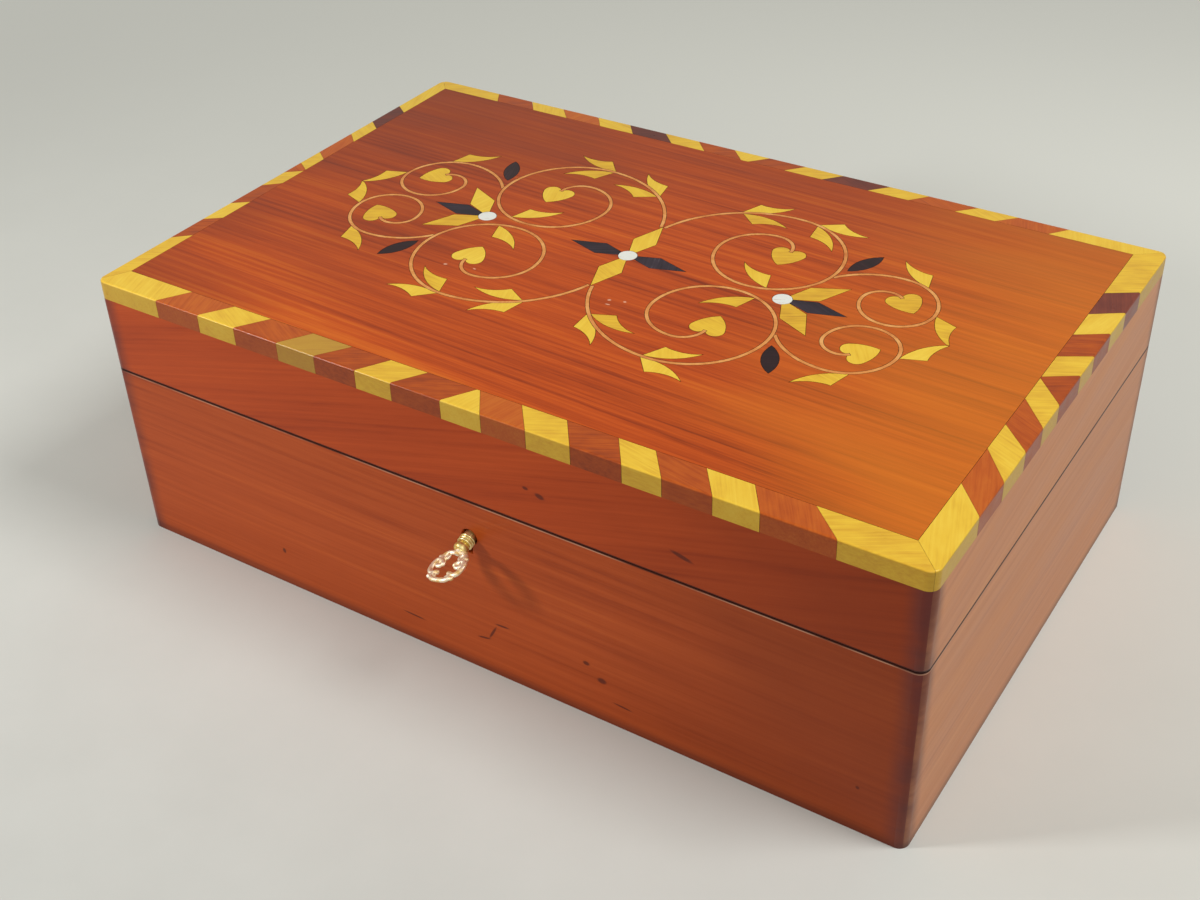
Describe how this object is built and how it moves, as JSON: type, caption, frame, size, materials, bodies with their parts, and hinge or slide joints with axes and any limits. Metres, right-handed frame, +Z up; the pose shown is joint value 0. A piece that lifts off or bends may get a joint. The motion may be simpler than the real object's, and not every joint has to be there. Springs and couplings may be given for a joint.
{
  "type": "hinged wooden box with lock and key",
  "caption": "Low rectangular wooden box with a hinged lid inlaid with scrolling foliage and hearts, edged with slanted blocks of light and red wood, closed by a key-operated lock.",
  "frame": {"origin": "middle of the underside, on the surface the box stands on", "axes": "+X along the front to the right as seen from the front, +Y from the front to the back, +Z up"},
  "size_m": [0.3, 0.211, 0.1034],
  "materials": {
    "red_wood": "waxed, worn at the arrises",
    "red_veneer": "waxed, streaky grain along the lid",
    "plain_wood": "planed, unfinished",
    "yellow_wood": "waxed, fine grain",
    "dark_wood": "waxed, stained nearly black",
    "dark_red_wood": "waxed",
    "peach_string": "waxed",
    "mother_of_pearl": "polished shell",
    "hinge_brass": "aged",
    "screw_brass": "aged",
    "steel": "plain",
    "key_brass": "handled, bright on the high spots",
    "key_metal": "cast, gilt worn pale"
  },
  "bodies": {
    "carcase": {"front_board": "red_wood", "back_board": "red_wood", "left_end": "red_wood", "right_end": "red_wood", "base_board": "plain_wood", "left_hinge_lower_leaf": "hinge_brass", "right_hinge_lower_leaf": "hinge_brass", "left_hinge_pin": "steel", "right_hinge_pin": "steel", "lock_plate": "hinge_brass", "lock_cap": "hinge_brass", "lock_posts": "steel", "drill_pin": "steel", "bolt_stump": "steel", "bolt_spring": "steel"},
    "lid": {"lid_front": "red_wood", "lid_back": "red_wood", "lid_left_end": "red_wood", "lid_right_end": "red_wood", "lid_board": "plain_wood", "lid_veneer": "red_veneer", "front_light_blocks": "yellow_wood", "front_red_blocks": "red_wood", "right_light_blocks": "yellow_wood", "right_red_blocks": "red_wood", "back_light_blocks": "yellow_wood", "back_red_blocks": "red_wood", "left_light_blocks": "yellow_wood", "left_red_blocks": "red_wood", "dark_blocks": "dark_red_wood", "strings": "peach_string", "leaves": "yellow_wood", "hearts": "yellow_wood", "buds": "dark_wood", "pearls": "mother_of_pearl", "light_petals": "yellow_wood", "dark_petals": "dark_wood", "left_hinge_upper_leaf": "hinge_brass", "right_hinge_upper_leaf": "hinge_brass", "link_plate": "hinge_brass"},
    "bolt": {"lock_bolt": "steel"},
    "key": {"key_shank": "key_brass", "key_bow": "key_metal"}
  },
  "joints": [
    {"name": "lid_hinge", "type": "hinge", "parent": "carcase", "child": "lid", "pos_m": [0, 0.0945, 0.06885], "axis": [-1, 0, 0], "range_deg": [0, 100]},
    {"name": "key_turn", "type": "hinge", "parent": "carcase", "child": "key", "pos_m": [0, -0.08965, 0.0559], "axis": [0.0255, -0.972, -0.2334], "range_deg": [0, 100]},
    {"name": "bolt_slide", "type": "slide", "parent": "carcase", "child": "bolt", "axis": [-1, 0, 0], "range_m": [0, 0.0064]}
  ],
  "couplings": [
    {"joint": "key_turn", "follows": "bolt_slide", "rad_per_m": 272.7}
  ]
}
